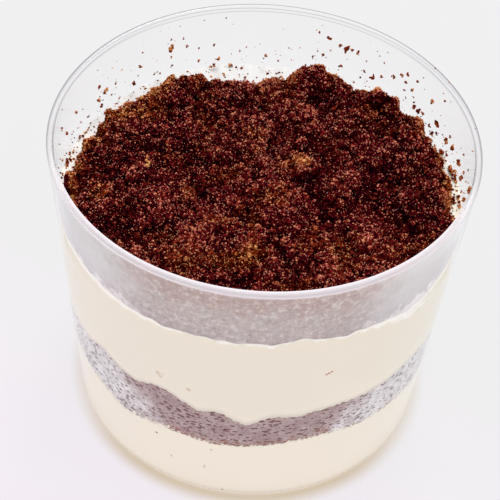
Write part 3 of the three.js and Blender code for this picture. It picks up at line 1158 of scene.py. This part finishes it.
def buildHeapRaster():
    draw = np.random.default_rng(heap["seed"])
    raster = Raster(heap["rasterStep"], heap["rasterHalf"])
    x, y = raster.x, raster.y
    onHeap = raster.z > layers["upperCreamTop"]
    dips = np.maximum(hillsAt(heap["dipHills"], x, y) - heap["dipFrom"], 0)
    seams = smooth(np.abs(hillsAt(heap["seamHills"], x, y) - 0.5), heap["seamWidth"], 0)
    depth = heap["dipDepth"] * dips + heap["hollowShare"] * spotsAt(hollows, x, y)
    depth = depth + heap["coreDepth"] + heap["seamDepth"] * seams
    raster.z = raster.z - depth * mm * onHeap
    for azimuth, radius, spread, size, top, count in clumps:
        for i in range(count):
            turn = math.radians(goldenAngle * i)
            away = spread * math.sqrt(i / count)
            drop = (top - clumpFoot) * i / count
            bearing = azimuth + math.degrees(away * math.sin(turn) / radius)
            x, y = polar(bearing, (radius + away * math.cos(turn)) * mm)
            raster.press(x, y, layers["upperCreamTop"] + (top - size - drop) * mm, size * mm, 1)
    for kind in lumpKinds:
        raster.strew(draw, *kind)
    raster.findReliefShade(heap["reliefShadeReach"])
    return raster


def heapMesh(raster):
    shape = bmesh.new()
    segments, skirtRows = heap["gridSegments"], heap["skirtRows"]
    bmesh.ops.create_grid(shape, x_segments=segments, y_segments=segments, size=1)
    for _ in range(skirtRows):
        edges = [edge for edge in shape.edges if edge.is_boundary]
        skirt = bmesh.ops.extrude_edge_only(shape, edges=edges)["geom"]
        lowered = [item for item in skirt if isinstance(item, bmesh.types.BMVert)]
        bmesh.ops.translate(shape, verts=lowered, vec=(0, 0, -1))
    bmesh.ops.edgeloop_fill(shape, edges=[edge for edge in shape.edges if edge.is_boundary])
    bmesh.ops.recalc_face_normals(shape, faces=shape.faces)
    mesh = bpy.data.meshes.new("crumb_heap")
    shape.to_mesh(mesh)
    shape.free()
    u, v, level = pointsOf(mesh).T
    # the square grid made round
    x = u * np.sqrt(1 - v * v / 2)
    y = v * np.sqrt(1 - u * u / 2)
    share = np.hypot(x, y)
    azimuth = azimuthOf(x, y)
    touching = innerRadiusAt(heap["top"]) + layers["crumbsIntoWall"]
    reach = blend(touching, heapRadiusAt(azimuth) + heap["skirtReach"], openShareAt(azimuth))
    z = blend(raster.at(*polar(azimuth, share * reach)), heap["foot"], -level / skirtRows)
    radius = np.minimum(share * reach, innerRadiusAt(z) + layers["crumbsIntoWall"])
    x, y = polar(azimuth, radius)
    setPoints(mesh, np.column_stack((x, y, z)))
    # painted light and shade from the heap's relief are added to the crumbs' paleness
    addField(mesh, "pale", paleness(x, y) + heap["reliefShadeShare"] * raster.at(x, y, raster.reliefShade))
    addField(mesh, "warm", warmth(x, y))
    return mesh


crumbTones = {  # from the darkest crumbs to the palest, plum and golden
    "plum": [
        (0, paint(15, 0, 2)), (0.2, paint(37, 0, 7)), (0.4, paint(63, 7, 14)),
        (0.6, paint(93, 15, 19)), (0.8, paint(127, 32, 30)), (0.92, paint(162, 65, 53)),
        (1, paint(208, 128, 106)),
    ],
    "golden": [
        (0, paint(22, 0, 0)), (0.2, paint(49, 6, 2)), (0.4, paint(79, 19, 7)),
        (0.6, paint(111, 36, 12)), (0.8, paint(145, 63, 24)), (0.92, paint(177, 97, 45)),
        (1, paint(214, 152, 92)),
    ],
}
seamFade = (0.4, 0.8)
packed = {
    "grainSize": 0.4 * mm,
    "wobble": (1.1 * mm, 3),
    "base": 0.1,
    "own": 0.55,
    "ownPower": 1.5,
    "pale": 0.45,
    "wobbleShare": 0.5,
    # painted shade in the seams between grains
    "seam": 0.3,
    "roughness": 0.9,
    "bump": (0.8, 0.2 * mm),
}


def crumbTone(sheet, share, warm):
    tones = [sheet.add("ValToRGB", {"stops": stops}, (share,)) for stops in crumbTones.values()]
    return sheet.mix(warm, *tones)


def crumbGrain(sheet, place, size):
    # small cells, each with a number of its own from 0 to 1, and how far a point is into their seams
    own = sheet.add("SeparateColor", values=(sheet.cells(place, size, "Color"),))
    return own, sheet.step(sheet.cells(place, size), *seamFade)


def packedCrumb():
    # the crumbs under the loose ones: dark, each small grain with a tone of its own, and painted shade in
    # the seams between grains
    sheet = Sheet("packedCrumb")
    place = sheet.place()
    own, seam = crumbGrain(sheet, place, packed["grainSize"])
    wobble = sheet.noise(place, *packed["wobble"])
    share = packed["own"] * own ** packed["ownPower"] + packed["pale"] * (sheet.attribute("pale") - 0.5)
    # painted shade: darker in the seams between grains
    share = share + packed["wobbleShare"] * (wobble - 0.5) + packed["base"] - packed["seam"] * seam
    return sheet.finishOpaque({
        "Base Color": crumbTone(sheet, share, sheet.attribute("warm")),
        "Roughness": packed["roughness"],
        "Specular IOR Level": 0.0,
        "Normal": sheet.bump(own - seam, *packed["bump"]),
    })


heapRaster = buildHeapRaster()
heapPiece = addPiece("crumb_heap", heapMesh(heapRaster), packedCrumb())
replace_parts(heapPiece, "crumb_topping")
print("heap core made")


# Loose crumbs: uneven lumps of a few faces, joined into one mesh for each kind

loose = {
    "pointReach": (0.55, 1.3),
    "stretch": (0.6, 1.3),
    "grainSize": 0.32 * mm,
    "own": 0.4,
    # painted shade in the seams between grains
    "seam": 0.15,
    "gleamFade": (0.95, 0.955),
    # painted highlight: how much paler a gleaming crumb is
    "gleamHighlight": 0.48,
    "roughness": 0.85,
    "coatRoughness": 0.15,
    "coatRefraction": 1.6,
    "bump": (0.6, 0.12 * mm),
}


def crumbBlank(fine):
    # eight faces for the finest crumbs and twenty for the others
    shape = bmesh.new()
    if fine:
        bmesh.ops.create_uvsphere(shape, u_segments=4, v_segments=2, radius=1)
    else:
        bmesh.ops.create_icosphere(shape, subdivisions=1, radius=1)
    points = np.array([tuple(vertex.co) for vertex in shape.verts])
    faces = np.array([[vertex.index for vertex in face.verts] for face in shape.faces])
    shape.free()
    return points, faces


def randomTurns(draw, count):
    quaternions = draw.normal(size=(count, 4))
    w, x, y, z = (quaternions / np.linalg.norm(quaternions, axis=1, keepdims=True)).T
    rows = [
        [1 - 2 * (y * y + z * z), 2 * (x * y - z * w), 2 * (x * z + y * w)],
        [2 * (x * y + z * w), 1 - 2 * (x * x + z * z), 2 * (y * z - x * w)],
        [2 * (x * z - y * w), 2 * (y * z + x * w), 1 - 2 * (x * x + y * y)],
    ]
    return np.array(rows).transpose(2, 0, 1)


def crumbMesh(name, draw, centres, sizes, fields, fine=False):
    # centres, sizes and each field hold one row for each crumb
    blank, faces = crumbBlank(fine)
    count = len(centres)
    lumps = blank * draw.uniform(*loose["pointReach"], (count, len(blank), 1))
    lumps = lumps * draw.uniform(*loose["stretch"], (count, 1, 3)) * sizes[:, None, None]
    points = np.einsum("nij,nkj->nki", randomTurns(draw, count), lumps) + centres[:, None, :]
    corners = faces[None] + (np.arange(count) * len(blank))[:, None, None]
    mesh = bpy.data.meshes.new(name)
    mesh.from_pydata(points.reshape(-1, 3).tolist(), [], corners.reshape(-1, 3).tolist())
    for label, numbers in fields.items():
        addField(mesh, label, np.repeat(numbers, len(blank)))
    return mesh


def looseCrumb():
    sheet = Sheet("looseCrumb")
    own, seam = crumbGrain(sheet, sheet.place(), loose["grainSize"])
    gleam = sheet.step(sheet.attribute("gleam"), *loose["gleamFade"])
    # painted shade: darker in the seams between grains
    share = sheet.attribute("pale") + loose["own"] * (own - 0.5) - loose["seam"] * seam
    return sheet.finishOpaque({
        # a gleaming crumb also gets a painted highlight: its colour is paler
        "Base Color": crumbTone(sheet, share + loose["gleamHighlight"] * gleam, sheet.attribute("warm")),
        "Roughness": loose["roughness"],
        "Specular IOR Level": 0.0,
        "Coat Weight": gleam,
        "Coat Roughness": loose["coatRoughness"],
        "Coat IOR": loose["coatRefraction"],
        "Normal": sheet.bump(own - seam, *loose["bump"]),
    })


# how many, their half sizes in mm, how far they stand out in sizes, how pale, from and to, and the seed
kinds = {
    "coarse_crumbs": (1100, (0.3, 0.55), (0, 0.5), (0.25, 0.65), 41),
    "small_crumbs": (9900, (0.2, 0.33), (0, 0.9), (0.2, 0.95), 42),
    "fine_crumbs": (24000, (0.14, 0.25), (0, 1.6), (0.13, 1.25), 43),
    "tiny_crumbs": (24000, (0.1, 0.17), (0.5, 3), (0.17, 1.65), 44),
}
fineKinds = ["fine_crumbs", "tiny_crumbs"]
# the powers make most crumbs small and dark
scatter = {
    "pastEdge": 0.5 * mm,
    "steepest": 4,
    "sizePower": 2,
    "palePower": 1.5,
    "paleShare": 0.6,
    # painted light and shade from the heap's relief
    "reliefShadeShare": 0.35,
    "warmSpread": (-0.4, 0.45),
    "clearOfWall": 0.75,
}


def scatterPlaces(draw, count):
    # picks places on the heap, more of them where it is steep
    slopeX, slopeY = np.gradient(heapRaster.z, heapRaster.step)
    steep = np.sqrt(1 + np.minimum(slopeX ** 2 + slopeY ** 2, scatter["steepest"] ** 2))
    places = np.empty((0, 2))
    while len(places) < count:
        azimuth = draw.uniform(-180, 180, count)
        radius = (heapRadiusAt(azimuth) + scatter["pastEdge"]) * np.sqrt(draw.random(count))
        x, y = polar(azimuth, radius)
        kept = draw.random(count) * scatter["steepest"] < heapRaster.at(x, y, steep)
        places = np.concatenate((places, np.column_stack((x, y))[kept]))
    return places[:count].T


def keepInside(centres, sizes):
    # draws crumbs in until they clear the plastic
    radius = np.hypot(centres[:, 0], centres[:, 1])
    most = innerRadiusAt(centres[:, 2]) - scatter["clearOfWall"] * sizes
    share = np.minimum(1, most / np.maximum(radius, tiny))
    centres[:, :2] *= share[:, None]
    return centres


def crumbFields(draw, x, y, paleRange, gleaming):
    reliefShade = heapRaster.at(x, y, heapRaster.reliefShade)
    # the loose crumbs get the same painted light and shade from the heap's relief
    local = scatter["paleShare"] * (paleness(x, y) - 0.5) + scatter["reliefShadeShare"] * reliefShade
    return {
        "pale": blend(*paleRange, draw.random(len(x)) ** scatter["palePower"]) + local,
        "warm": np.clip(warmth(x, y) + draw.uniform(*scatter["warmSpread"], len(x)), 0, 1),
        "gleam": draw.random(len(x)) * gleaming,
    }


looseMaterial = looseCrumb()
for name, (count, sizeRange, lift, paleRange, seed) in kinds.items():
    draw = np.random.default_rng(seed)
    x, y = scatterPlaces(draw, count)
    sizes = mm * blend(*sizeRange, draw.random(count) ** scatter["sizePower"])
    z = heapRaster.at(x, y) + draw.uniform(*lift, count) * sizes
    centres = keepInside(np.column_stack((x, y, z)), sizes)
    fine = name in fineKinds
    fields = crumbFields(draw, x, y, paleRange, gleaming=fine)
    mesh = crumbMesh(name, draw, centres, sizes, fields, fine)
    addPiece(name, mesh, looseMaterial, smooth=False)
print("crumbs scattered over the heap")


# Crumbs that cling to the inner wall and lie on the ring of cream

# azimuth and height in mm of the crumbs on the wall, by half their size in mm
wallCrumbs = {
    0.6: [(-148, 64.3), (157, 66.1), (119, 61.8), (112, 61), (113, 57.2), (106, 56.8), (104, 57)],
    0.5: [
        (-96, 57.3), (-122, 61.8), (-178, 59.5), (163, 67), (128, 60.5), (130, 60.6), (147, 61), (102, 61.7),
        (96, 60.7), (100, 57), (83, 66.5), (94, 57), (92, 56.8), (108, 62),
    ],
    0.4: [
        (-120, 63.9), (-119, 60.8), (-120, 59), (-134, 59), (-148, 57), (-163, 58.9), (-162, 57.4),
        (-167, 57), (135, 64.7), (132, 64), (126, 60.7), (122, 59.6), (120, 58.3), (118, 59.5), (110, 58.3),
        (102, 58.8), (101, 57.7), (87, 61), (-99, 63), (153, 66), (123, 65.7), (90, 57),
    ],
    0.3: [
        (-107, 64), (-96, 66.4), (-107, 57), (-137, 62.7), (-127, 62), (-148, 59.7), (-153, 64), (-162, 63),
        (-157, 59.4), (-161, 57), (159, 66), (155, 66), (164, 62.2), (167, 61), (158, 60.7), (144, 62.4),
        (140, 64.2), (137, 65.7), (135, 67), (131, 67), (150, 61.7), (118, 68.6), (111, 62.8), (100, 65),
        (96, 62.6), (93, 59), (86, 57.6), (84, 58), (-92, 60), (-99, 57), (-90, 57), (-88, 57.5),
    ],
    0.2: [
        (-113, 59.4), (-109, 60), (-114, 57), (-148, 66.8), (-152, 66.2), (-157, 62.7), (-148, 62),
        (-170, 60.7), (178, 58.3), (-138, 66), (-130, 64.3), (-136, 60.5), (-142, 59), (-144, 58.6),
        (-125, 59.5), (-128, 57.3), (166, 68.2), (162, 64), (169, 58.4), (150, 64.4), (144, 66.3),
        (153, 57.6), (135, 62.6), (134, 61), (131, 62.5), (93, 65.3), (81, 62.5),
    ],
}
stray = {
    "grains": (4, 9),
    "grainShare": (0.5, 0.95),
    "spread": 0.6,
    "dust": 190,
    "dustSize": (0.08, 0.2),
    "dustHeight": 57.5,
    "dustFall": 4.2,
    "dustTop": 70,
    "dustSpan": (-92, 98),
    "offCream": 0.3 * mm,
    "offWall": 0.55,
    "onCream": 1500,
    "creamSize": (0.13, 0.42),
    "creamSpan": (-100, 100),
    "creamNearness": 3.4,
    "creamShare": 0.9,
    "creamSeat": 0.3,
    "offHeap": 0.4 * mm,
    "leanHeight": 1.6 * mm,
    "leanFade": (0.12, 0),
    "pale": (0.47, 1.08),
    "warm": (0.78, 1),
    # azimuth and half size in mm of the specks on the rim
    "onRim": [(126, 0.22), (119, 0.2), (99, 0.16)],
    # x, y and half size in mm of the grains of a pale crumb on the heap
    "palest": [(-24.4, -1.2, 0.6), (-24, -0.7, 0.45), (-24.6, -0.4, 0.4)],
    "palestLift": 0.6 * mm,
    "palestTone": 1.3,
    "seed": 61,
}


def makeStrayCrumbs():
    draw = np.random.default_rng(stray["seed"])
    rows = []
    degreesToMm = math.degrees(mm / innerRadiusAt(layers["upperCreamTop"]))
    for size, places in wallCrumbs.items():
        for azimuth, height in places:
            # each of several grains that stick together
            for _ in range(draw.integers(*stray["grains"])):
                aside, up = draw.normal(size=2) * size * stray["spread"]
                grain = size * draw.uniform(*stray["grainShare"])
                rows.append((azimuth + aside * degreesToMm, (height + up) * mm, grain * mm))
    for _ in range(stray["dust"]):
        bearing = 180 + draw.uniform(*stray["dustSpan"])
        z = (stray["dustHeight"] + draw.exponential(stray["dustFall"])) * mm
        rows.append((bearing, min(z, stray["dustTop"] * mm), draw.uniform(*stray["dustSize"]) * mm))
    bearing, z, sizes = np.array(rows).T
    z = np.maximum(z, upperCreamSurface(bearing, 1) + stray["offCream"])
    x, y = polar(bearing, innerRadiusAt(z) - stray["offWall"] * sizes)
    wallCentres = np.column_stack((x, y, z))
    # the ring of cream, denser near the heap, with some that lean on it
    count = stray["onCream"]
    azimuth = 180 + draw.uniform(*stray["creamSpan"], count)
    edge = heapRadiusAt(azimuth)
    room = innerRadiusAt(layers["upperCreamTop"]) - edge
    share = draw.random(count) ** stray["creamNearness"]
    x, y = polar(azimuth, edge + stray["offHeap"] + room * share)
    creamSizes = mm * blend(*stray["creamSize"], draw.random(count) ** scatter["sizePower"])
    lean = stray["leanHeight"] * draw.random(count) * smooth(share, *stray["leanFade"])
    z = upperCreamSurface(azimuth, stray["creamShare"]) + stray["creamSeat"] * creamSizes + lean
    ringCentres = keepInside(np.column_stack((x, y, z)), creamSizes)
    rimAzimuth, rimSizes = np.array(stray["onRim"]).T
    x, y = polar(rimAzimuth, cup["mouthRadius"] - cup["rim"] / 2)
    rimCentres = np.column_stack((x, y, np.full(len(x), cup["height"])))
    x, y, palestSizes = np.array(stray["palest"]).T * mm
    palestCentres = np.column_stack((x, y, heapRaster.at(x, y) + stray["palestLift"]))
    centres = np.concatenate((wallCentres, ringCentres, rimCentres, palestCentres))
    sizes = np.concatenate((sizes, creamSizes, rimSizes * mm, palestSizes))
    count = len(sizes)
    fields = {
        "pale": draw.uniform(*stray["pale"], count),
        "warm": draw.uniform(*stray["warm"], count),
        "gleam": np.zeros(count),
    }
    fields["pale"][-len(palestSizes):] = stray["palestTone"]
    fields["warm"][-len(palestSizes):] = 1
    mesh = crumbMesh("stray_crumbs", draw, centres, sizes, fields)
    addPiece("stray_crumbs", mesh, looseMaterial, smooth=False)


makeStrayCrumbs()
print("stray crumbs placed")
